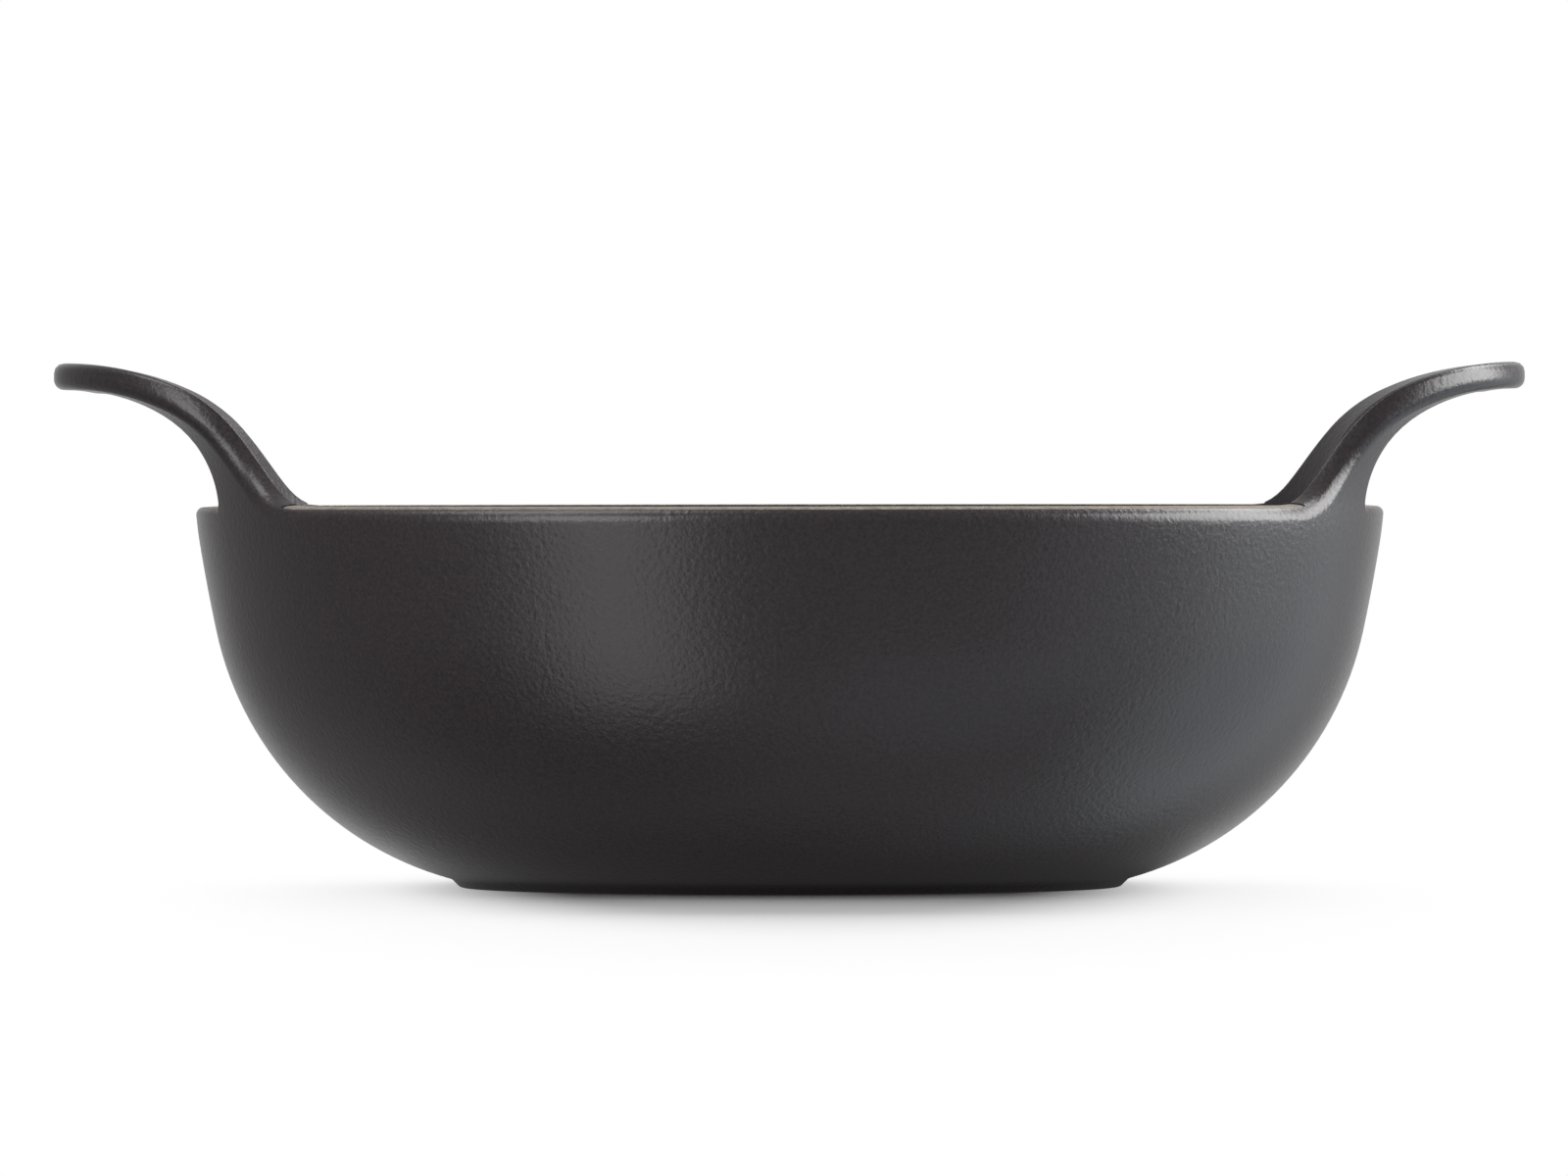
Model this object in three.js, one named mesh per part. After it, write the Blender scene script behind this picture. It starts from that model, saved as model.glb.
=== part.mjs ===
// Balti dish: a round-bellied cast-iron serving pan whose rim sweeps up into two
// flared loop handles, with satin black enamel outside and matt black enamel inside.
// Millimetres, +Z up. The origin is the middle of the foot, on the table.
import * as THREE from 'three';
import { mergeVertices } from 'three/addons/utils/BufferGeometryUtils.js';

// Bowl, measured on the finished, enamelled surfaces
const RIM_RADIUS = 125.4;      // outside of the wall at the rim
const RIM_HEIGHT = 80.5;       // rim above the table
const RIM_LEAN = 4;            // degrees by which the wall still opens at the rim
const LIP_DEPTH = 8;           // height of the more upright lip
const SIDE_LEAN = 9.3;         // degrees by which the wall opens below the lip
const SIDE_RADIUS = 387;       // arc of the nearly straight upper wall
const BELLY_RADIUS = 69;       // arc of the round lower wall
const WALL = 5.4;              // iron and both coats
const BARE_RIM = 1.1;          // strip of iron left without enamel on top of the rim
const ROOT_EDGE = 0.2;         // round left on the iron's rim under the handle roots
const FOOT_RADIUS = 70.6;
const FOOT_HEIGHT = 1.6;       // step between the table and the belly
const FOOT_ROUND = 1.2;        // lower edge of the foot

// Enamel
const COAT = 0.4;              // thickness of each coat
const FIT = 0.3;               // clearance between neighbouring pieces

// Handles: a sheet that goes on from the rim, flares out until it is level and ends in a grip
const FLARE_RADIUS = 25.4;     // under side of the outward turn
const FLARE_LEAN = 55;         // degrees of lean at which the turn slackens
const GRIP_RADIUS = 30;        // under side of the slacker turn
const GRIP_LEVEL = 2.2;        // level stretch up to the tip
const HANDLE_THICKNESS = 5.4;
const ROOT_HALF_WIDTH = 62;    // half width across both arms at the rim, without the fillets
const TIP_HALF_WIDTH = 45;
const ARM_SWEEP = 5;           // how soon an arm turns upright from its wide root
const FILLET_WIDTH = 3.2;      // how far a fillet runs out along the rim
const FILLET_RISE = 3;         // how far it climbs the arm
const TIP_CORNER = 13;         // plan radius of the two tip corners
const GRIP_DEPTH = 11;         // bar between the finger hole and the tip
const HOLE_ROOT_HALF = 34;     // half width of the finger hole at the rim
const HOLE_TOP_HALF = 36;
const HOLE_CORNER = 8;
const UNDER_ROUND = 3;         // outer edge of the handle, on its under side
const TOP_ROUND = 1;           // outer edge of the handle, on its upper side
const HOLE_UNDER_ROUND = 1.8;  // edge of the finger hole, on its under side
const HOLE_TOP_ROUND = 3;      // edge of the finger hole, on its upper side

// Facets
const TURN_STEPS = 56;         // round the bowl
const BELLY_STEPS = 7;
const SIDE_STEPS = 2;
const LIP_STEPS = 1;
const ROUND_STEPS = 3;         // on a large edge
const EDGE_STEPS = 1;          // on a small edge
const ARM_STEPS = 6;
const CORNER_STEPS = 3;
const GRIP_STEPS = 3;
const ACROSS_STEPS = 3;        // across the width of an arm
const ROOT_CROWDING = 1.5;     // over 1 draws the arm's sections together at its root

// Iron lies this far under an enamelled surface
const UNDERLAY = COAT + FIT;
const rimLean = THREE.MathUtils.degToRad(RIM_LEAN);
const sideLean = THREE.MathUtils.degToRad(SIDE_LEAN);
const flareLean = THREE.MathUtils.degToRad(FLARE_LEAN);

// Mesh helpers

// Joins rings of points into one closed surface. A ring closes on itself or runs from axis to axis,
// and the row of rings closes on itself or ends in two level caps.
function skin(rings, ringClosed, rowClosed) {
  const size = rings[0].length;
  const points = rings.flat();
  const faces = [];
  const same = (a, b) => points[a].distanceTo(points[b]) < 1e-6;
  const addFace = (a, b, c) => {
    if (!same(a, b) && !same(b, c) && !same(c, a)) faces.push([a, b, c]);
  };
  // A quad folds along its shorter diagonal, so that nested skins fold alike
  const addQuad = (a, b, c, d) => {
    if (points[a].distanceTo(points[c]) < points[b].distanceTo(points[d]) - 1e-6) {
      addFace(a, b, c);
      addFace(a, c, d);
    } else {
      addFace(a, b, d);
      addFace(b, c, d);
    }
  };
  const rowSteps = rowClosed ? rings.length : rings.length - 1;
  const ringSteps = ringClosed ? size : size - 1;
  for (let row = 0; row < rowSteps; row++) {
    const here = row * size;
    const next = ((row + 1) % rings.length) * size;
    for (let i = 0; i < ringSteps; i++) {
      const j = (i + 1) % size;
      addQuad(here + i, next + i, next + j, here + j);
    }
  }
  if (!rowClosed) {
    const lastRow = rings.length - 1;
    for (const [row, turn] of [[0, 1], [lastRow, -1]]) {
      const outline = rings[row].map((p) => new THREE.Vector2(p.x, p.y));
      const ringTurn = turn * Math.sign(THREE.ShapeUtils.area(outline));
      for (const triangle of THREE.ShapeUtils.triangulateShape(outline.slice(), [])) {
        const triangleTurn = Math.sign(THREE.ShapeUtils.area(triangle.map((i) => outline[i])));
        const [a, b, c] = triangle.map((i) => row * size + i);
        if (triangleTurn === ringTurn) addFace(a, b, c);
        else addFace(a, c, b);
      }
    }
  }
  const sixfoldVolume = ([a, b, c]) => points[a].dot(points[b].clone().cross(points[c]));
  const volume = faces.reduce((sum, triangle) => sum + sixfoldVolume(triangle), 0);
  const index = faces.flatMap(([a, b, c]) => (volume > 0 ? [a, b, c] : [a, c, b]));
  const geometry = new THREE.BufferGeometry().setFromPoints(points);
  geometry.setIndex(index);
  return mergeVertices(geometry, 1e-4);
}

// Turns a profile of (radius, height) points about Z; the profile may change with the azimuth
function revolve(profileAt, profileClosed) {
  const rings = [];
  for (let step = 0; step < TURN_STEPS; step++) {
    const azimuth = (2 * Math.PI * step) / TURN_STEPS;
    const place = (p) => new THREE.Vector3(p.x * Math.cos(azimuth), p.x * Math.sin(azimuth), p.y);
    rings.push(profileAt(azimuth).map(place));
  }
  return skin(rings, profileClosed, true);
}

// Points along an arc, both ends included
function arc(centre, radius, from, to, steps) {
  const points = [];
  for (let step = 0; step <= steps; step++) {
    const angle = from + ((to - from) * step) / steps;
    const spoke = new THREE.Vector2(Math.cos(angle), Math.sin(angle));
    points.push(spoke.multiplyScalar(radius).add(centre));
  }
  return points;
}

const directionOf = (from, to) => Math.atan2(to.y - from.y, to.x - from.x);

// Bowl profile: a belly arc from the foot runs tangent into a flatter side arc and an upright lip

// Outward normal of the wall at a lean, scaled, as (radius, height)
function spoke(lean, length) {
  return new THREE.Vector2(Math.cos(lean), -Math.sin(lean)).multiplyScalar(length);
}

const rimPoint = new THREE.Vector2(RIM_RADIUS, RIM_HEIGHT);
const lipRadius = LIP_DEPTH / (Math.sin(sideLean) - Math.sin(rimLean));
const lipCentre = rimPoint.clone().sub(spoke(rimLean, lipRadius));
const sideCentre = lipCentre.clone().add(spoke(sideLean, lipRadius - SIDE_RADIUS));
const bellyCentre = findBellyCentre();
const bellyTop = directionOf(sideCentre, bellyCentre);

// The belly passes through the top of the foot and touches the side arc from inside
function findBellyCentre() {
  const footTop = new THREE.Vector2(FOOT_RADIUS, FOOT_HEIGHT);
  const apart = footTop.clone().sub(sideCentre);
  const distance = apart.length();
  const reach = SIDE_RADIUS - BELLY_RADIUS;
  const along = (reach ** 2 - BELLY_RADIUS ** 2 + distance ** 2) / (2 * distance);
  const across = Math.sqrt(reach ** 2 - along ** 2);
  const unit = apart.divideScalar(distance);
  const upward = new THREE.Vector2(-unit.y, unit.x);
  return sideCentre.clone().addScaledVector(unit, along).addScaledVector(upward, across);
}

// Radius of a circle about the given centre at a height, on the side away from the axis
function radiusAt(centre, radius, height) {
  return centre.x + Math.sqrt(radius ** 2 - (height - centre.y) ** 2);
}

const innerRimRadius = radiusAt(lipCentre, lipRadius - WALL, RIM_HEIGHT);

// Under the handle roots the edge keeps only the round that its coat needs
const rootRound = UNDERLAY + ROOT_EDGE;

// The round outer edge of the rim takes all of its thickness but the bare strip and the inner coat
const roundInnerEdge = innerRimRadius + UNDERLAY + BARE_RIM + FIT;
const rimRound = (RIM_RADIUS - roundInnerEdge) / (Math.tan(rimLean) + 1 / Math.cos(rimLean));

// Outside of the bowl from the lower edge of the foot to the top of the rim, set in from the enamel
function outerContour(inset, round) {
  const footCentre = new THREE.Vector2(FOOT_RADIUS - FOOT_ROUND, FOOT_ROUND);
  const footWall = FOOT_RADIUS - inset - bellyCentre.x;
  const bellyRadius = BELLY_RADIUS - inset;
  const bellyStart = -Math.acos(footWall / bellyRadius);
  const roundHeight = RIM_HEIGHT - round;
  const roundCentre = new THREE.Vector2(radiusAt(lipCentre, lipRadius - round, roundHeight), roundHeight);
  const roundStart = directionOf(lipCentre, roundCentre);
  return [
    ...arc(footCentre, FOOT_ROUND - inset, -Math.PI / 4, 0, EDGE_STEPS),
    ...arc(bellyCentre, bellyRadius, bellyStart, bellyTop, BELLY_STEPS),
    ...arc(sideCentre, SIDE_RADIUS - inset, bellyTop, -sideLean, SIDE_STEPS).slice(1),
    ...arc(lipCentre, lipRadius - inset, -sideLean, roundStart, LIP_STEPS).slice(1),
    ...arc(roundCentre, round - inset, roundStart, Math.PI / 2, ROUND_STEPS).slice(1),
  ];
}

// Inside of the bowl from the rim down to the axis, set into the wall from the enamel
function innerContour(inset) {
  const innerLipRadius = lipRadius - WALL + inset;
  const sideRadius = SIDE_RADIUS - WALL + inset;
  const bellyRadius = BELLY_RADIUS - WALL + inset;
  const rim = new THREE.Vector2(radiusAt(lipCentre, innerLipRadius, RIM_HEIGHT), RIM_HEIGHT);
  return [
    ...arc(lipCentre, innerLipRadius, directionOf(lipCentre, rim), -sideLean, LIP_STEPS),
    ...arc(sideCentre, sideRadius, -sideLean, bellyTop, SIDE_STEPS).slice(1),
    ...arc(bellyCentre, bellyRadius, bellyTop, -Math.PI / 2, BELLY_STEPS).slice(1),
    new THREE.Vector2(0, bellyCentre.y - bellyRadius),
  ];
}

// The rim's edge is square under the handle roots, so that an arm runs straight down into the wall
function rimRoundAt(azimuth) {
  const fromHandle = Math.abs(Math.asin(Math.sin(azimuth)));
  const rootStart = Math.asin(HOLE_ROOT_HALF / innerRimRadius);
  const rootEnd = Math.asin((ROOT_HALF_WIDTH + FILLET_WIDTH) / innerRimRadius);
  return fromHandle > rootStart && fromHandle < rootEnd ? rootRound : rimRound;
}

function bowlProfile(azimuth) {
  const outside = outerContour(UNDERLAY, rimRoundAt(azimuth));
  const ledge = outside.at(-1);
  return [
    new THREE.Vector2(0, 0),
    new THREE.Vector2(FOOT_RADIUS - FOOT_ROUND, 0),
    ...outside,
    new THREE.Vector2(ledge.x - FIT, ledge.y),
    new THREE.Vector2(ledge.x - FIT, RIM_HEIGHT),
    ...innerContour(UNDERLAY),
  ];
}

function exteriorEnamelProfile(azimuth) {
  const round = rimRoundAt(azimuth);
  return [...outerContour(0, round), ...outerContour(COAT, round).reverse()];
}

function interiorEnamelProfile() {
  return [...innerContour(COAT).reverse(), ...innerContour(0)];
}

// Handle sheet, laid out flat as (across, along): across is the distance from the dish's long axis
// on the upper side, and along is the distance from the rim on the under side

const flareLength = FLARE_RADIUS * (flareLean - rimLean);
const turnLength = flareLength + GRIP_RADIUS * (Math.PI / 2 - flareLean);
const sheetLength = turnLength + GRIP_LEVEL;
const holeLength = sheetLength - GRIP_DEPTH;
const flareCentre = rimPoint.clone().add(spoke(rimLean, FLARE_RADIUS));
const gripCentre = flareCentre.clone().add(spoke(flareLean, GRIP_RADIUS - FLARE_RADIUS));

// Radius and height of the sheet at a distance along it and a height over its under side
function sheetPoint(along, lift) {
  if (along < flareLength) {
    return flareCentre.clone().sub(spoke(rimLean + along / FLARE_RADIUS, FLARE_RADIUS + lift));
  }
  const turned = Math.min(along, turnLength) - flareLength;
  const point = gripCentre.clone().sub(spoke(flareLean + turned / GRIP_RADIUS, GRIP_RADIUS + lift));
  point.x += Math.max(along - turnLength, 0);
  return point;
}

// Bends a point of the flat sheet round the flare; its first section is cut level, clear of the rim
function bendSheet(flat, lift) {
  const azimuth = Math.asin(flat.x / sheetPoint(flat.y, HANDLE_THICKNESS).x);
  const point = sheetPoint(flat.y, lift);
  const height = flat.y > 0 ? point.y : RIM_HEIGHT;
  return new THREE.Vector3(point.x * Math.cos(azimuth), point.x * Math.sin(azimuth), height + FIT);
}

// Half of an edge of the loop: up one arm, round a corner and along the grip to the middle
function halfEdge(widthAt, length, corner) {
  const armLength = length - corner;
  const points = [];
  for (let step = 0; step < ARM_STEPS; step++) {
    const along = armLength * (step / ARM_STEPS) ** ROOT_CROWDING;
    points.push(new THREE.Vector2(widthAt(along), along));
  }
  const cornerCentre = new THREE.Vector2(widthAt(armLength) - corner, armLength);
  points.push(...arc(cornerCentre, corner, 0, Math.PI / 2, CORNER_STEPS));
  for (let step = 1; step <= GRIP_STEPS; step++) {
    points.push(new THREE.Vector2(cornerCentre.x * (1 - step / GRIP_STEPS), length));
  }
  return points;
}

function outlineHalfWidth(along) {
  const taper = (ROOT_HALF_WIDTH - TIP_HALF_WIDTH) * (1 - along / sheetLength) ** ARM_SWEEP;
  const fillet = FILLET_WIDTH * Math.max(1 - along / FILLET_RISE, 0) ** 2;
  return TIP_HALF_WIDTH + taper + fillet;
}

function holeHalfWidth(along) {
  return THREE.MathUtils.lerp(HOLE_ROOT_HALF, HOLE_TOP_HALF, along / holeLength);
}

// Section of an arm as (distance from the outline, lift), with all four edges rounded
function armSection(width, inset) {
  const top = HANDLE_THICKNESS;
  const edge = (x, y, radius, from, steps) => {
    const centre = new THREE.Vector2(x, y);
    return arc(centre, radius - inset, from, from + Math.PI / 2, steps);
  };
  const holeUnderEdge = width - HOLE_UNDER_ROUND;
  const holeTopEdge = width - HOLE_TOP_ROUND;
  const corners = [
    edge(TOP_ROUND, top - TOP_ROUND, TOP_ROUND, Math.PI / 2, EDGE_STEPS),
    edge(UNDER_ROUND, UNDER_ROUND, UNDER_ROUND, Math.PI, ROUND_STEPS),
    edge(holeUnderEdge, HOLE_UNDER_ROUND, HOLE_UNDER_ROUND, -Math.PI / 2, EDGE_STEPS),
    edge(holeTopEdge, top - HOLE_TOP_ROUND, HOLE_TOP_ROUND, 0, ROUND_STEPS),
  ];
  const between = (a, b) => {
    const points = [];
    for (let step = 1; step < ACROSS_STEPS; step++) {
      points.push(a.clone().lerp(b, step / ACROSS_STEPS));
    }
    return points;
  };
  const [topEdge, underEdge, holeUnder, holeTop] = corners;
  const under = between(underEdge.at(-1), holeUnder[0]);
  const upper = between(holeTop.at(-1), topEdge[0]);
  return [...topEdge, ...underEdge, ...under, ...holeUnder, ...holeTop, ...upper];
}

// Sections of the whole loop, from the root of one arm to the root of the other
function loopRings(inset) {
  const outline = halfEdge(outlineHalfWidth, sheetLength, TIP_CORNER);
  const hole = halfEdge(holeHalfWidth, holeLength, HOLE_CORNER);
  const half = outline.map((edge, i) => {
    const spoke = hole[i].clone().sub(edge);
    const width = spoke.length();
    spoke.normalize();
    const section = armSection(width, inset);
    return section.map((p) => bendSheet(edge.clone().addScaledVector(spoke, p.x), p.y));
  });
  const mirrored = half.slice(0, -1).reverse();
  const flipped = mirrored.map((ring) => ring.map((p) => new THREE.Vector3(p.x, -p.y, p.z)));
  return [...half, ...flipped];
}

// Pieces

const iron = { color: 0x5b554c, roughness: 0.75, metalness: 0.4 };
const satinBlack = { color: 0x2c2b2b, roughness: 0.36, metalness: 0 };
const mattBlack = { color: 0x1b1a1a, roughness: 0.7, metalness: 0 };

function piece(name, geometry, look) {
  const mesh = new THREE.Mesh(geometry, new THREE.MeshStandardMaterial(look));
  mesh.name = name;
  return mesh;
}

function handle(side) {
  const group = new THREE.Group();
  const coat = [...loopRings(0), ...loopRings(COAT).reverse()];
  group.add(
    piece(`${side}_handle`, skin(loopRings(UNDERLAY), true, false), iron),
    piece(`${side}_handle_enamel`, skin(coat, true, true), satinBlack),
  );
  return group;
}

const dish = new THREE.Group();
dish.add(
  piece('bowl', revolve(bowlProfile, false), iron),
  piece('exterior_enamel', revolve(exteriorEnamelProfile, true), satinBlack),
  piece('interior_enamel', revolve(interiorEnamelProfile, false), mattBlack),
);

const rightHandle = handle('right');
const leftHandle = handle('left');
leftHandle.rotation.z = Math.PI;
dish.add(rightHandle, leftHandle);

export default dish;
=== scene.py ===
# Balti dish: one seamless cast-iron body with its enamel coats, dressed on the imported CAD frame.
# Shapes are worked out in millimetres and placed in metres. The origin is the middle of the foot.
import math

import bmesh
import bpy
import numpy as np
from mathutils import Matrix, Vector


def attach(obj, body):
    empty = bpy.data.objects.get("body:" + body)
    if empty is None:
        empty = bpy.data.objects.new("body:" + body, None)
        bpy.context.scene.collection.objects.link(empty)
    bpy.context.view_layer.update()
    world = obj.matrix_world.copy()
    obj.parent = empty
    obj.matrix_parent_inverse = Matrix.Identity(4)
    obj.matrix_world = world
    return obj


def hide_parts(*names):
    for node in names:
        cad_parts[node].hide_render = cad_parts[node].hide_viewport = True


MM = 0.001

# Bowl, on the finished surfaces
RIM_RADIUS = 125.4
RIM_HEIGHT = 80.2
RIM_LEAN = math.radians(4.0)     # opening of the wall at the rim
LIP_DEPTH = 8.0                  # height of the more upright lip
SIDE_LEAN = math.radians(9.3)    # opening of the wall below the lip
SIDE_RADIUS = 387.0
BELLY_RADIUS = 69.0
WALL = 5.4
FOOT_CORNER = (70.6, 1.55)       # the belly's arc, drawn on, runs through this point of the foot
BASE_RADIUS = 69.1               # flat that stands on the table
FOOT_LEAN = math.radians(45)     # opening of the foot's side
FOOT_ROUND = 1.5                 # lower edge of the foot
FOOT_COVE = 2.0                  # hollow between the belly and the foot
ENAMEL_END = math.radians(75)    # lean of the lower edge at which the outside coat ends

# Handle sheet, laid out flat: across from the long axis, along from the rim
FLARE_TURNS = (                  # radius of the under side, and the lean in degrees up to which it runs
    (26.2, 55),
    (30.0, 89),
    (120.0, 90),
)
LOOP_RADIUS = 49.4               # plan radius of the loop's outer edge
LOOP_MARKS = np.radians([62, 22])  # plan angles of the loop beside the ends of the hole's top corner
ROOT_FILLET = 18.0               # sweep from the rim into an arm
HOLE_ROOT_HALF = 34.5            # half width of the finger hole at the rim
HOLE_TOP_HALF = 35.0             # and at its top corners
HOLE_FOOT_CORNER = 1.5
HOLE_TOP_CORNER = 18.0
GRIP_DEPTH = 11.0                # bar between the finger hole and the tip
TIP_SWELL = 0.20                 # how much thicker the sheet gets on its under side at the tip
TIP_SWELL_REACH = 12.0           # stretch before the tip over which it does so

# Rounded edges: the under side faces outwards, the upper side faces the bowl
RIM_UNDER_ROUND = 3.0
RIM_UPPER_ROUND = 0.4
TIP_UNDER_ROUND = 2.1
TIP_UPPER_ROUND = 2.0
HOLE_UNDER_ROUND = 1.6
HOLE_UPPER_ROUND = 3.3
GRIP_ROUND = 2.5                 # both edges of the grip over the finger hole

# Enamel
COAT = 0.3
COAT_GAP = 0.02                  # keeps a coat clear of the casting under it
GROUND_HEIGHT = 1.0              # the rim's bare strip ends this far up an arm's fillet

# Mesh steps over a quarter of the dish
LIP_COLUMNS = 20
ROOT_COLUMNS = 24
RIM_COLUMNS = 36
LIP_ROWS = 6
SIDE_ROWS = 10
BELLY_ROWS = 30
FOOT_ROWS = 5
BASE_ROWS = 6
FILLET_RINGS = 12
ARM_RINGS = 22
CORNER_RINGS = 14
GRIP_RINGS = 14
ROUND_ANGLES = np.radians([0, 10, 20, 30, 40, 50, 60, 62, 76, 90])
GROUND_STEP = 6                  # the step of these angles at which the rim's bare strip starts
SIDE_SHARES = np.array([0.33, 0.67])
UPPER_ANGLES = np.radians([0, 30, 60, 90])
SHEET_SAMPLES = 800              # places along the sheet at which its radius is looked up
FIT_ROUNDS = 20                  # rounds that settle where the root fillet meets an arm
SLOPE_STEP = 1.0                 # stretch over which an arm's slope is taken
WELD = 0.001                     # points closer than this become one
SHARP_ANGLE = math.radians(40)   # faces that meet at a larger angle keep their crease

# Finishes of the skin's faces
OUTSIDE, INSIDE, BARE = 0, 1, 2

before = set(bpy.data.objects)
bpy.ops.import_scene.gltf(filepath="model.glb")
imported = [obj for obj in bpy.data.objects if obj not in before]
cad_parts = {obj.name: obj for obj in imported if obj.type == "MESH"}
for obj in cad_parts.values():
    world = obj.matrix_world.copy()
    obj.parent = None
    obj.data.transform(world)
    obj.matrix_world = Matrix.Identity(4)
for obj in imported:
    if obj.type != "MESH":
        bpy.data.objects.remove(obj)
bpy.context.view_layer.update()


# Meridian of the wall

def spoke(lean):
    """Outward normal of the wall at a lean, as (radius, height)."""
    return np.stack([np.cos(lean), -np.sin(lean)], axis=-1)


rim_point = np.array([RIM_RADIUS, RIM_HEIGHT])
lip_radius = LIP_DEPTH / (math.sin(SIDE_LEAN) - math.sin(RIM_LEAN))
lip_length = lip_radius * (SIDE_LEAN - RIM_LEAN)
lip_centre = rim_point - lip_radius * spoke(RIM_LEAN)
side_centre = lip_centre + (lip_radius - SIDE_RADIUS) * spoke(SIDE_LEAN)


def find_belly_centre():
    """The belly passes through the foot's corner and touches the side arc from inside."""
    apart = np.array(FOOT_CORNER) - side_centre
    distance = np.linalg.norm(apart)
    reach = SIDE_RADIUS - BELLY_RADIUS
    along = (reach**2 - BELLY_RADIUS**2 + distance**2) / (2 * distance)
    across = math.sqrt(reach**2 - along**2)
    unit = apart / distance
    return side_centre + along * unit + across * np.array([-unit[1], unit[0]])


belly_centre = find_belly_centre()
belly_lean = math.atan2(side_centre[1] - belly_centre[1], belly_centre[0] - side_centre[0])
foot_centre = np.array([BASE_RADIUS, FOOT_ROUND])


def find_cove_centre():
    """The cove touches the belly from outside and the sloping side of the foot."""
    along_side = np.array([math.sin(FOOT_LEAN), math.cos(FOOT_LEAN)])
    start = foot_centre + (FOOT_ROUND + FOOT_COVE) * spoke(FOOT_LEAN)
    apart = start - belly_centre
    climb = apart @ along_side
    reach = BELLY_RADIUS + FOOT_COVE
    length = -climb - math.sqrt(climb**2 - apart @ apart + reach**2)
    return start + length * along_side


cove_centre = find_cove_centre()
cove_lean = math.atan2(belly_centre[1] - cove_centre[1], cove_centre[0] - belly_centre[0])


def wall_rows(lift, last_lean):
    """Side and belly from below the lip, at a distance inside the outer surface."""
    side_leans = np.linspace(SIDE_LEAN, belly_lean, SIDE_ROWS + 1)[1:]
    belly_leans = np.linspace(belly_lean, last_lean, BELLY_ROWS + 1)[1:]
    side = side_centre + (SIDE_RADIUS - lift) * spoke(side_leans)
    belly = belly_centre + (BELLY_RADIUS - lift) * spoke(belly_leans)
    return np.concatenate([side, belly])


# Sheet of the lip and the handles

def flare_arcs():
    """The turns of the flare, each as its start, length, radius, first lean and centre."""
    arcs = []
    start, lean, point = 0.0, RIM_LEAN, rim_point
    for radius, last in FLARE_TURNS:
        centre = point + radius * spoke(lean)
        length = radius * (math.radians(last) - lean)
        arcs.append((start, length, radius, lean, centre))
        start += length
        lean = math.radians(last)
        point = centre - radius * spoke(lean)
    return arcs


flare = flare_arcs()
sheet_length = sum(turn[1] for turn in flare)
hole_length = sheet_length - GRIP_DEPTH


def meridian(along, lift):
    """Radius and height at a distance above (or, if negative, below) the rim."""
    lip_turn = RIM_LEAN - np.clip(along, None, 0) / lip_radius
    point = lip_centre + (lip_radius - lift)[..., None] * spoke(lip_turn)
    for start, length, radius, lean, centre in flare:
        turn = lean + np.clip(along - start, 0, length) / radius
        here = centre - (radius + lift)[..., None] * spoke(turn)
        point = np.where((along >= start)[..., None], here, point)
    return point


def blend(start, stop, low, high, at):
    """Runs smoothly from one value to another while at goes from start to stop."""
    share = np.clip((at - start) / (stop - start), 0, 1)
    return low + (high - low) * share**2 * (3 - 2 * share)


def bend(across, along, lift):
    """Places points of the flat sheet on the dish."""
    across, along, lift = np.broadcast_arrays(across, along, lift)
    upper = meridian(np.clip(along, 0, None), np.full(lift.shape, WALL))[..., 0]
    azimuth = np.arcsin(np.clip(across / upper, -1, 1))
    swell = blend(sheet_length - TIP_SWELL_REACH, sheet_length, 0, TIP_SWELL, along)
    point = meridian(along, lift - swell * (1 - lift / WALL))
    radius = point[..., 0]
    return np.stack([radius * np.cos(azimuth), radius * np.sin(azimuth), point[..., 1]], axis=-1)


def bend_rows(rows):
    """Places points given as (across, along, lift)."""
    return bend(rows[..., 0], rows[..., 1], rows[..., 2])


def revolve(rows, azimuths):
    """Turns meridian points about the axis, one row of the grid to each."""
    radius = rows[:, 0, None]
    height = np.broadcast_to(rows[:, 1, None], (len(rows), len(azimuths)))
    return np.stack([radius * np.cos(azimuths), radius * np.sin(azimuths), height], axis=-1)


# Edges of the loop, as points with normals into the sheet

def arc(centre, radius, start, stop, steps):
    """Points and their directions from the centre, without the first one."""
    angles = np.linspace(start, stop, steps + 1)[1:]
    outward = np.stack([np.cos(angles), np.sin(angles)], axis=-1)
    return np.array(centre) + radius * outward, outward


sheet_along = np.linspace(0, sheet_length, SHEET_SAMPLES)
sheet_radius = meridian(sheet_along, np.full(SHEET_SAMPLES, WALL))[:, 0]
loop_centre = sheet_radius[-1] - LOOP_RADIUS


def half_width(along):
    """Half width of the round loop, which reaches the tip, seen in plan."""
    from_axis = np.interp(along, sheet_along, sheet_radius)
    ahead = (from_axis**2 - LOOP_RADIUS**2 + loop_centre**2) / (2 * loop_centre)
    return math.sqrt(from_axis**2 - ahead**2)


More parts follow.
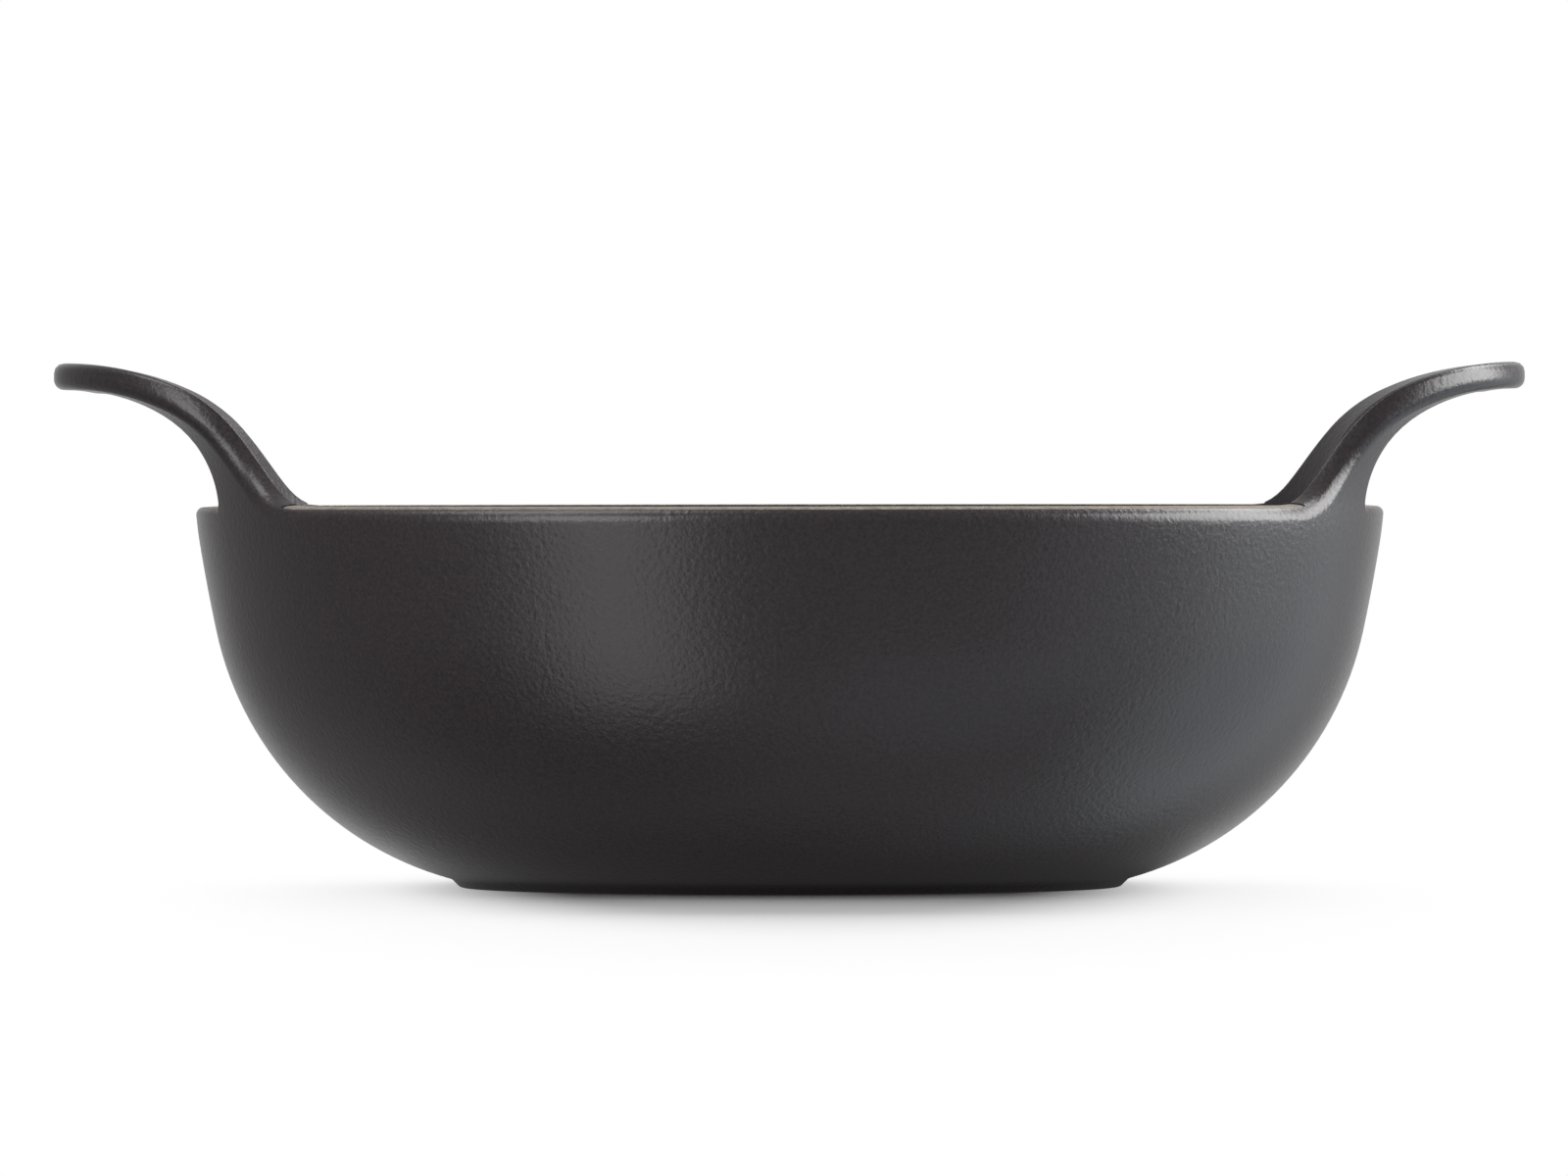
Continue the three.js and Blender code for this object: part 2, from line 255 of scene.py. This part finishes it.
def loop_arc(start):
    """Flat points of the round loop from a place on its arm to the middle of the tip."""
    across = half_width(start)
    ahead = math.sqrt(np.interp(start, sheet_along, sheet_radius)**2 - across**2)
    first_turn = math.atan2(across, ahead - loop_centre)
    marks = np.cumsum([0, ARM_RINGS, CORNER_RINGS, GRIP_RINGS])
    turns = np.interp(np.arange(marks[-1] + 1), marks, [first_turn, *LOOP_MARKS, 0])
    plan = np.stack([loop_centre + LOOP_RADIUS * np.cos(turns), LOOP_RADIUS * np.sin(turns)], axis=-1)
    along = np.interp(np.linalg.norm(plan, axis=-1), sheet_radius, sheet_along)
    points = np.stack([plan[:, 1], along], axis=-1)
    tangents = np.gradient(points, axis=0)
    tangents[-1] = (-1, 0)
    tangents /= np.linalg.norm(tangents, axis=-1, keepdims=True)
    left = np.stack([-tangents[:, 1], tangents[:, 0]], axis=-1)
    return points[1:], left[1:]


def outline_edge():
    """Half of the handle's outer edge, from the rim to the middle of the tip."""
    # The fillet touches the arm's side with its own slope
    arm_start = ROOT_FILLET
    for _ in range(FIT_ROUNDS):
        narrowing = half_width(arm_start) - half_width(arm_start + SLOPE_STEP)
        climb = math.atan2(SLOPE_STEP, narrowing)
        arm_start = ROOT_FILLET * (1 - math.cos(climb))
    rim_end = half_width(arm_start) + ROOT_FILLET * math.sin(climb)
    fillet_angles = (-math.pi / 2, -math.pi / 2 - climb)
    fillet, from_fillet = arc((rim_end, ROOT_FILLET), ROOT_FILLET, *fillet_angles, FILLET_RINGS)
    loop, into_loop = loop_arc(arm_start)
    points = np.concatenate([[[rim_end, 0]], fillet, loop])
    normals = np.concatenate([[[0, -1]], from_fillet, into_loop])
    return points, normals


def hole_edge():
    """Half of the finger hole's edge, from the lip to the middle of the grip."""
    foot_x = HOLE_ROOT_HALF - HOLE_FOOT_CORNER
    foot, from_foot = arc((foot_x, HOLE_FOOT_CORNER), HOLE_FOOT_CORNER, -math.pi / 2, 0, FILLET_RINGS)
    along = np.linspace(HOLE_FOOT_CORNER, hole_length - HOLE_TOP_CORNER, ARM_RINGS + 1)[1:]
    taper = np.linspace(HOLE_ROOT_HALF, HOLE_TOP_HALF, ARM_RINGS + 1)[1:]
    side = np.stack([taper, along], axis=-1)
    outward = np.tile([1.0, 0.0], (ARM_RINGS, 1))
    corner_centre = (HOLE_TOP_HALF - HOLE_TOP_CORNER, hole_length - HOLE_TOP_CORNER)
    corner, from_corner = arc(corner_centre, HOLE_TOP_CORNER, 0, math.pi / 2, CORNER_RINGS)
    grip = np.linspace([corner_centre[0], hole_length], [0, hole_length], GRIP_RINGS + 1)[1:]
    up = np.tile([0.0, 1.0], (GRIP_RINGS, 1))
    points = np.concatenate([[[foot_x, 0]], foot, side, corner, grip])
    normals = np.concatenate([[[0, -1]], from_foot, outward, from_corner, up])
    return points, normals


def edge_band(points, normals, under, upper):
    """Rows of the edge from the under side to the upper side, as (across, along, lift)."""
    def rows(depth, lift):
        place = points[None] + depth[..., None] * normals[None]
        return np.concatenate([place, lift[..., None]], axis=-1)

    under_depth = under * (1 - np.sin(ROUND_ANGLES))[:, None]
    under_lift = under * (1 - np.cos(ROUND_ANGLES))[:, None]
    side_lift = under + SIDE_SHARES[:, None] * (WALL - under - upper)
    upper_depth = upper * (1 - np.cos(UPPER_ANGLES))[:, None]
    upper_lift = WALL - upper * (1 - np.sin(UPPER_ANGLES))[:, None]
    side = rows(np.zeros_like(side_lift), side_lift)
    return np.concatenate([rows(under_depth, under_lift), side, rows(upper_depth, upper_lift)])


# Rounding of the edges ring by ring, from the rim to the tip

outline, outline_normal = outline_edge()
hole, hole_normal = hole_edge()
rings = np.arange(len(outline))
arm_end = FILLET_RINGS + ARM_RINGS
arm_last_third = arm_end - ARM_RINGS / 3
arm_first_part = FILLET_RINGS * 2
tip_start = arm_end + CORNER_RINGS
outline_under = blend(arm_end, tip_start, RIM_UNDER_ROUND, TIP_UNDER_ROUND, rings)
outline_upper = blend(arm_last_third, tip_start, RIM_UPPER_ROUND, TIP_UPPER_ROUND, rings)
hole_under = blend(arm_end, tip_start, HOLE_UNDER_ROUND, GRIP_ROUND, rings)
arm_upper = blend(0, arm_first_part, RIM_UPPER_ROUND, HOLE_UPPER_ROUND, rings)
hole_upper = blend(arm_end, tip_start, arm_upper, GRIP_ROUND, rings)

# Columns of the wall under the lip of the hole, an arm's root and the free rim

inner_rim = meridian(np.zeros(1), np.full(1, WALL))[0, 0]
lip_across = np.linspace(0, hole[0, 0], LIP_COLUMNS + 1)
root_across = np.linspace(hole[0, 0], outline[0, 0], ROOT_COLUMNS + 1)
rim_start = math.asin(outline[0, 0] / inner_rim)
rim_across = inner_rim * np.sin(np.linspace(rim_start, math.pi / 2, RIM_COLUMNS + 1))
columns_across = np.concatenate([lip_across, root_across[1:], rim_across[1:]])
columns = np.arcsin(np.clip(columns_across / inner_rim, -1, 1))


# Skin of the whole dish: a quarter as grids of points, each with the finish of its faces

def wall_grid(depth, lift, rows):
    """The lip from a depth below the rim, given column by column, and then the rows of the wall."""
    shares = np.linspace(0, 1, LIP_ROWS + 1)[:, None]
    along = -depth + shares * (depth - lip_length)
    lip = bend(columns_across, along, np.full_like(along, lift))
    return np.concatenate([lip, revolve(rows, columns)])


def outer_wall():
    """Outside of the bowl down to the end of its coat on the foot's lower edge."""
    wall = wall_rows(0.0, cove_lean)
    cove = cove_centre - FOOT_COVE * spoke(np.linspace(cove_lean, FOOT_LEAN, FOOT_ROWS + 1)[1:])
    edge = foot_centre + FOOT_ROUND * spoke(np.linspace(FOOT_LEAN, ENAMEL_END, FOOT_ROWS))
    root = [hole[0, 0], outline[0, 0]]
    depth = np.interp(columns_across, root, [HOLE_UNDER_ROUND, RIM_UNDER_ROUND])
    return wall_grid(depth, 0.0, np.concatenate([wall, cove, edge]))


def inner_wall():
    """Inside of the bowl down to the middle of its floor."""
    rows = wall_rows(WALL, math.pi / 2)
    floor = np.linspace(rows[-1], [0, rows[-1][1]], BASE_ROWS + 1)[1:]
    depth = np.full(len(columns), RIM_UPPER_ROUND)
    return wall_grid(depth, WALL, np.concatenate([rows, floor]))


def foot_base():
    """Bare base of the foot, from the end of the outside coat to the middle."""
    edge = foot_centre + FOOT_ROUND * spoke(np.linspace(ENAMEL_END, math.pi / 2, FOOT_ROWS))
    base = np.linspace(edge[-1], [0, 0], BASE_ROWS + 1)[1:]
    return revolve(np.concatenate([edge, base]), columns)


def rim_band(across, under):
    """Edge of a free stretch of the rim."""
    points = np.stack([across, np.zeros_like(across)], axis=-1)
    normals = np.tile([0.0, -1.0], (len(across), 1))
    upper = np.full(len(across), RIM_UPPER_ROUND)
    return bend_rows(edge_band(points, normals, np.full(len(across), under), upper))


def arm_face(lift, outline_inset, hole_inset):
    """One side of the loop between its two rounded edges, ring by ring."""
    hole_side = hole + hole_inset[:, None] * hole_normal
    rim_side = outline + outline_inset[:, None] * outline_normal
    shares = np.linspace(0, 1, ROOT_COLUMNS + 1)[None, :, None]
    flat = hole_side[:, None] + shares * (rim_side - hole_side)[:, None]
    return bend(flat[..., 0], flat[..., 1], np.full(flat.shape[:2], lift))


def quarter_patches():
    """Grids of points and the finish of each of their faces."""
    patches = []

    def add(points, finish):
        shape = (points.shape[0] - 1, points.shape[1] - 1)
        patches.append((points, np.broadcast_to(finish, shape)))

    outline_rows = edge_band(outline, outline_normal, outline_under, outline_upper)
    hole_rows = edge_band(hole, hole_normal, hole_under, hole_upper)
    step = np.arange(len(outline_rows) - 1)[:, None]
    rim_finish = np.where(step < GROUND_STEP, OUTSIDE, BARE)
    ground = (outline[1:, 1] < GROUND_HEIGHT)[None]
    add(outer_wall(), OUTSIDE)
    add(foot_base(), BARE)
    add(inner_wall(), INSIDE)
    add(rim_band(rim_across, RIM_UNDER_ROUND), rim_finish)
    add(rim_band(lip_across, HOLE_UNDER_ROUND), rim_finish)
    add(bend_rows(outline_rows), np.where(ground, rim_finish, OUTSIDE))
    add(bend_rows(hole_rows), OUTSIDE)
    add(arm_face(0.0, outline_under, hole_under), OUTSIDE)
    add(arm_face(WALL, outline_upper, hole_upper), OUTSIDE)
    return patches


def make_skin():
    """The closed surface of the dish, from four mirrored quarters."""
    skin = bmesh.new()
    patches = quarter_patches()
    for mirror in ((1, 1, 1), (-1, 1, 1), (-1, -1, 1), (1, -1, 1)):
        for points, finish in patches:
            grid = [[skin.verts.new(p) for p in row] for row in points * np.array(mirror) * MM]
            for i, j in np.ndindex(*finish.shape):
                corners = (grid[i][j], grid[i + 1][j], grid[i + 1][j + 1], grid[i][j + 1])
                skin.faces.new(corners).material_index = int(finish[i, j])
    bmesh.ops.remove_doubles(skin, verts=skin.verts, dist=WELD * MM)
    bmesh.ops.recalc_face_normals(skin, faces=skin.faces)
    skin.verts.index_update()
    return skin


# Pieces cut from the skin

def to_object(name, points, faces):
    mesh = bpy.data.meshes.new(name)
    mesh.from_pydata([tuple(p) for p in points], [], faces)
    mesh.shade_smooth()
    mesh.set_sharp_from_angle(angle=SHARP_ANGLE)
    piece = bpy.data.objects.new(name, mesh)
    bpy.context.scene.collection.objects.link(piece)
    return piece


def core_of(skin, name):
    """The casting: the skin set in under its coats and left as it is where it is bare."""
    points = []
    for vert in skin.verts:
        coated = any(face.material_index != BARE for face in vert.link_faces)
        inset = (COAT + COAT_GAP) * MM if coated else 0.0
        points.append(vert.co - inset * vert.normal)
    return to_object(name, points, [[v.index for v in face.verts] for face in skin.faces])


def coat_of(skin, name, finish):
    """One coat of enamel: the faces of a finish, thickened inwards and closed round their borders."""
    chosen = [face for face in skin.faces if face.material_index == finish]
    order = {}
    for face in chosen:
        for vert in face.verts:
            order.setdefault(vert, len(order))
    count = len(order)
    points = [vert.co.copy() for vert in order]
    points += [vert.co - COAT * MM * vert.normal for vert in order]
    faces = []
    for face in chosen:
        ring = [order[vert] for vert in face.verts]
        faces.append(ring)
        faces.append([i + count for i in reversed(ring)])
        for loop in face.loops:
            neighbours = [other for other in loop.edge.link_faces if other is not face]
            if all(other.material_index != finish for other in neighbours):
                a, b = order[loop.vert], order[loop.link_loop_next.vert]
                faces.append([b, a, a + count, b + count])
    return to_object(name, points, faces)


# Shader nodes

WHITE = (1, 1, 1, 1)


def add_node(tree, kind, *inputs, **named):
    """A node with its first inputs and its named ones; another node's socket is linked, a value is set."""
    node = tree.nodes.new(kind)
    pairs = list(zip(node.inputs, inputs))
    pairs += [(node.inputs[name.replace("_", " ")], value) for name, value in named.items()]
    for socket, value in pairs:
        if isinstance(value, bpy.types.NodeSocket):
            tree.links.new(value, socket)
        else:
            socket.default_value = value
    return node


def add_math(tree, operation, first, second):
    """The result of an operation on two numbers."""
    node = add_node(tree, "ShaderNodeMath", first, second)
    node.operation = operation
    return node.outputs[0]


def add_vector_math(tree, operation, output, *inputs):
    """The named output, Vector or Value, of an operation on vectors."""
    node = add_node(tree, "ShaderNodeVectorMath", *inputs)
    node.operation = operation
    return node.outputs[output]


def add_map(tree, value, edge, levels, kind="LINEAR"):
    """Runs from one level to another between two values."""
    limits = dict(From_Min=edge[0], From_Max=edge[1], To_Min=levels[0], To_Max=levels[1])
    node = add_node(tree, "ShaderNodeMapRange", Value=value, **limits)
    node.interpolation_type = kind
    return node.outputs["Result"]


def add_ramp(tree, value, edge, levels):
    """Runs smoothly from one level to another between two values."""
    return add_map(tree, value, edge, levels, "SMOOTHSTEP")


def add_noise(tree, grain, detail):
    """Noise on the object with a grain in mm."""
    place = tree.nodes.new("ShaderNodeTexCoord").outputs["Object"]
    noise = add_node(tree, "ShaderNodeTexNoise", Vector=place, Scale=1 / (grain * MM), Detail=detail)
    return noise.outputs["Fac"]


# Materials

NOISE_BAND = (0.3, 0.7)          # the range of the noise that a mottle spreads over


def new_material(name, colour, roughness):
    material = bpy.data.materials.new(name)
    material.use_nodes = True
    shader = material.node_tree.nodes["Principled BSDF"]
    shader.inputs["Base Color"].default_value = (*colour, 1)
    shader.inputs["Roughness"].default_value = roughness
    return material


def add_mottle(material, grain, detail, colour_spread, roughness_spread):
    """Varies the colour and the roughness about their mean with a grain in mm."""
    tree = material.node_tree
    shader = tree.nodes["Principled BSDF"]
    noise = add_noise(tree, grain, detail)
    colour = np.array(shader.inputs["Base Color"].default_value[:3])
    ramp = add_node(tree, "ShaderNodeValToRGB", Fac=noise)
    for element, position, share in zip(ramp.color_ramp.elements, NOISE_BAND, (-1, 1)):
        element.position = position
        element.color = (*(colour * (1 + share * colour_spread)), 1)
    tree.links.new(ramp.outputs["Color"], shader.inputs["Base Color"])
    roughness = shader.inputs["Roughness"].default_value
    levels = (roughness - roughness_spread, roughness + roughness_spread)
    tree.links.new(add_map(tree, noise, NOISE_BAND, levels), shader.inputs["Roughness"])


def add_bump(material, layers):
    """Stacks noise bumps, each given as (grain in mm, detail, height in mm)."""
    tree = material.node_tree
    normal = {}
    for grain, detail, height in layers:
        noise = add_noise(tree, grain, detail)
        bump = add_node(tree, "ShaderNodeBump", Strength=1.0, Distance=height * MM, Height=noise, **normal)
        normal = {"Normal": bump.outputs["Normal"]}
    tree.links.new(normal["Normal"], tree.nodes["Principled BSDF"].inputs["Normal"])


def satin_enamel():
    material = new_material("satin_enamel", colour=(0.0150, 0.0104, 0.0117), roughness=0.32)
    add_mottle(material, grain=0.7, detail=2.0, colour_spread=0.4, roughness_spread=0.03)
    add_bump(material, [(1.15, 1.0, 0.095), (0.5, 1.0, 0.03)])
    return material


def matt_enamel():
    material = new_material("matt_enamel", colour=(0.012, 0.012, 0.012), roughness=0.6)
    add_mottle(material, grain=1.2, detail=2.0, colour_spread=0.25, roughness_spread=0.06)
    add_bump(material, [(0.9, 1.0, 0.06)])
    return material


def bare_iron():
    material = new_material("bare_iron", colour=(0.16, 0.135, 0.11), roughness=0.55)
    add_mottle(material, grain=1.5, detail=3.0, colour_spread=0.35, roughness_spread=0.1)
    add_bump(material, [(0.7, 2.0, 0.03)])
    return material


# Dish

skin = make_skin()
casting = core_of(skin, "casting")
outside = coat_of(skin, "outside_enamel", OUTSIDE)
inside = coat_of(skin, "inside_enamel", INSIDE)
skin.free()

casting.data.materials.append(bare_iron())
outside.data.materials.append(satin_enamel())
inside.data.materials.append(matt_enamel())
for piece in (casting, outside, inside):
    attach(piece, "root")
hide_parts("bowl", "left_handle", "right_handle")
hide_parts("exterior_enamel", "left_handle_enamel", "right_handle_enamel")
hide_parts("interior_enamel")


# Studio, in metres

FLOOR_HALF = 12.0
FLOOR_LEVEL = -0.0001
FLOOR_ALBEDO = 0.8
FLOOR_GLOW = 0.02                # what the camera sees on the floor besides the lit surface
SHADOW_REACH = (0.2, 0.4)        # distance in front of the axis over which the floor turns mostly white
SHADOW_TAIL = (0.2, 0.65)        # and over which it turns quite white
TAIL_SHARE = 0.3                 # share of the whitening that the tail takes
SHADOW_NARROWING = 4.5           # the shadow is this many times shorter at the sides
# The dish mirrors a painted shadow on the floor: a dim emitting patch round its foot, seen only by the
# dish, in place of the shade under it.
PAINTED_SHADE_CENTRE = (0.004, 0, 0)   # middle of the painted shadow, a dark patch of floor that the dish mirrors in place of the shade under it
PAINTED_SHADE_REACH = (0.068, 0.095)   # distance from there over which it clears
# brightness of that painted shadow
PAINTED_SHADE_LEVEL = 0.09
ROOM_LEVEL = 0.45                # the room round the dish
BACKDROP_LEVEL = 1.0
BACKDROP_EDGE = (0.85, 1.0)      # how squarely behind the dish the white backdrop stands
ROOM_SHADES = (                  # direction, how squarely that way a shade starts and ends, level left
    ((0, 0.6, -0.8), (0.78, 0.98), 0.33),
    ((-0.6, -0.2, -0.77), (0.78, 0.97), 0.55),
    ((-0.85, 0.53, 0), (0.6, 0.95), 0.7),
)
COOL = (0.84, 1.0, 1.1)
PALE_COOL = (0.97, 1.0, 1.02)


def floor_seen(tree, place, seen):
    """What the camera sees: a lit floor with the dish's shadow, which turns plain white further out."""
    oval = add_vector_math(tree, "MULTIPLY", "Vector", place, (SHADOW_NARROWING, 1, 1))
    reach = add_vector_math(tree, "LENGTH", "Value", oval)
    most = add_ramp(tree, reach, SHADOW_REACH, (0, 1 - TAIL_SHARE))
    tail = add_ramp(tree, reach, SHADOW_TAIL, (0, TAIL_SHARE))
    far = add_math(tree, "MULTIPLY", add_math(tree, "ADD", most, tail), seen)
    lit = add_node(tree, "ShaderNodeBsdfDiffuse", Color=(FLOOR_ALBEDO, FLOOR_ALBEDO, FLOOR_ALBEDO, 1))
    glow_level = add_math(tree, "MULTIPLY", seen, FLOOR_GLOW)
    glow = add_node(tree, "ShaderNodeEmission", Color=WHITE, Strength=glow_level)
    near = add_node(tree, "ShaderNodeAddShader", lit.outputs[0], glow.outputs[0])
    white = add_node(tree, "ShaderNodeEmission", Color=WHITE, Strength=1.0)
    return add_node(tree, "ShaderNodeMixShader", far, near.outputs[0], white.outputs[0]).outputs[0]


def floor_mirrored(tree, place, clear):
    """What the dish sees: a painted shadow, a dim glowing patch of floor close to its foot that stands in
    for the shade under the dish, and clear floor further out.
    """
    spread = add_vector_math(tree, "DISTANCE", "Value", place, PAINTED_SHADE_CENTRE)
    open_floor = add_ramp(tree, spread, PAINTED_SHADE_REACH, (0, 1))
    # Painted shade: a dim emitting patch that stands in for the floor's shadow under the dish
    painted_shade = add_node(tree, "ShaderNodeEmission", Color=WHITE, Strength=PAINTED_SHADE_LEVEL)
    return add_node(tree, "ShaderNodeMixShader", open_floor, painted_shade.outputs[0], clear).outputs[0]


def floor_material():
    """A pale floor for the camera and a painted shadow patch for the dish; from below it is clear."""
    material = bpy.data.materials.new("floor")
    material.use_nodes = True
    tree = material.node_tree
    tree.nodes.clear()
    seen = tree.nodes.new("ShaderNodeLightPath").outputs["Is Camera Ray"]
    place = tree.nodes.new("ShaderNodeTexCoord").outputs["Object"]
    below = tree.nodes.new("ShaderNodeNewGeometry").outputs["Backfacing"]
    clear = add_node(tree, "ShaderNodeBsdfTransparent", Color=WHITE).outputs[0]
    mirrored = floor_mirrored(tree, place, clear)
    top = add_node(tree, "ShaderNodeMixShader", seen, mirrored, floor_seen(tree, place, seen))
    surface = add_node(tree, "ShaderNodeMixShader", below, top.outputs[0], clear)
    add_node(tree, "ShaderNodeOutputMaterial", Surface=surface.outputs[0])
    return material


def add_floor():
    mesh = bpy.data.meshes.new("floor")
    signs = ((-1, -1), (1, -1), (1, 1), (-1, 1))
    corners = [(x * FLOOR_HALF, y * FLOOR_HALF, FLOOR_LEVEL) for x, y in signs]
    mesh.from_pydata(corners, [], [(0, 1, 2, 3)])
    mesh.materials.append(floor_material())
    floor = bpy.data.objects.new("floor", mesh)
    bpy.context.scene.collection.objects.link(floor)
    return floor


def lit_set(name, *objects):
    """The things that a softbox lights."""
    lit = bpy.data.collections.new(name)
    for thing in objects:
        lit.objects.link(thing)
    return lit


def add_softbox(name, lit, azimuth, distance, height, size, level, tint=(1, 1, 1)):
    """A softbox of a given brightness; azimuth 0 is the camera's side, 90 is the dish's right."""
    angle = math.radians(azimuth)
    lamp = bpy.data.lights.new(name, "AREA")
    lamp.shape = "RECTANGLE"
    lamp.size, lamp.size_y = size
    lamp.energy = level * math.pi * size[0] * size[1]
    lamp.color = tint
    box = bpy.data.objects.new(name, lamp)
    box.location = (distance * math.sin(angle), -distance * math.cos(angle), height)
    aim = Vector((0, 0, RIM_HEIGHT * MM / 2)) - box.location
    box.rotation_euler = aim.to_track_quat("-Z", "Y").to_euler()
    box.visible_camera = False
    box.light_linking.receiver_collection = lit
    bpy.context.scene.collection.objects.link(box)


def light_world():
    """A white background, and for the object a white backdrop behind it in a dimmer room."""
    world = bpy.data.worlds.new("studio")
    bpy.context.scene.world = world
    world.use_nodes = True
    tree = world.node_tree
    background = tree.nodes["Background"]
    background.inputs["Color"].default_value = WHITE
    seen = tree.nodes.new("ShaderNodeLightPath").outputs["Is Camera Ray"]
    place = tree.nodes.new("ShaderNodeTexCoord").outputs["Generated"]
    axes = add_node(tree, "ShaderNodeSeparateXYZ", Vector=place)
    room = add_ramp(tree, axes.outputs["Y"], BACKDROP_EDGE, (ROOM_LEVEL, BACKDROP_LEVEL))
    for direction, edge, share in ROOM_SHADES:
        facing = add_vector_math(tree, "DOT_PRODUCT", "Value", place, direction)
        room = add_math(tree, "MULTIPLY", room, add_ramp(tree, facing, edge, (1, share)))
    tree.links.new(add_math(tree, "MAXIMUM", room, seen), background.inputs["Strength"])


on_floor = lit_set("on_floor", add_floor())
on_dish = lit_set("on_dish", casting, outside, inside)
light_world()

# Lamps for the floor, each with its azimuth first

add_softbox("top_panel", on_floor, 0, distance=0.0, height=1.5, size=(2.4, 2.4), level=0.3)
add_softbox("back_panel", on_floor, 180, distance=1.2, height=0.75, size=(2.4, 1.0), level=5.0)

# Lamps for the dish: cool ones from below its rim, and brighter ones from above for the highlights

add_softbox("right_box", on_dish, 112, distance=1.1, height=-0.4, size=(1.0, 1.3), level=0.6, tint=COOL)
add_softbox("right_fill", on_dish, 76, distance=1.3, height=-0.1, size=(1.3, 1.6), level=0.36, tint=COOL)
add_softbox("right_low", on_dish, 125, distance=0.5, height=-0.75, size=(0.6, 0.5), level=0.12, tint=COOL)
add_softbox("front_low", on_dish, 33, distance=0.9, height=-0.75, size=(0.85, 0.75), level=0.28, tint=COOL)
add_softbox("right_key", on_dish, 95, distance=1.13, height=0.5, size=(1.0, 0.95), level=8.0)
add_softbox("right_back", on_dish, 134, distance=0.88, height=0.85, size=(0.5, 0.4), level=7.0)
add_softbox("left_box", on_dish, -35, distance=1.2, height=-0.3, size=(0.6, 1.4), level=1.5, tint=PALE_COOL)
add_softbox("left_front", on_dish, -42, distance=1.0, height=0.5, size=(0.6, 0.7), level=4.2)
add_softbox("left_key", on_dish, -80, distance=0.45, height=0.95, size=(0.5, 0.5), level=4.0)


# Camera: a long lens a little above the rim

IMAGE_WIDTH = 1600
SENSOR_WIDTH = 36.0
CLIP_END = 100.0
CAMERA_DISTANCE = 3.312
CAMERA_HEIGHT = 0.0873
FOCAL_PIXELS = 16000
HORIZON_RISE = 117               # pixels from the middle of the picture up to the horizon
AXIS_SHIFT = 6                   # pixels from the middle of the picture to the dish's axis
CAMERA_AZIMUTH = math.radians(-0.7)
CAMERA_ROLL = math.radians(0.07)

lens = bpy.data.cameras.new("camera")
lens.sensor_width = SENSOR_WIDTH
lens.lens = FOCAL_PIXELS / IMAGE_WIDTH * SENSOR_WIDTH
lens.clip_end = CLIP_END
camera = bpy.data.objects.new("camera", lens)
bpy.context.scene.collection.objects.link(camera)
camera.location = (
    CAMERA_DISTANCE * math.sin(CAMERA_AZIMUTH),
    -CAMERA_DISTANCE * math.cos(CAMERA_AZIMUTH),
    CAMERA_HEIGHT,
)
pitch = math.pi / 2 - math.atan(HORIZON_RISE / FOCAL_PIXELS)
heading = CAMERA_AZIMUTH + math.atan(AXIS_SHIFT / FOCAL_PIXELS)
camera.rotation_euler = (pitch, 0, heading)
camera.rotation_euler.rotate_axis("Z", -CAMERA_ROLL)
bpy.context.scene.camera = camera

bpy.context.scene.view_settings.view_transform = "Standard"
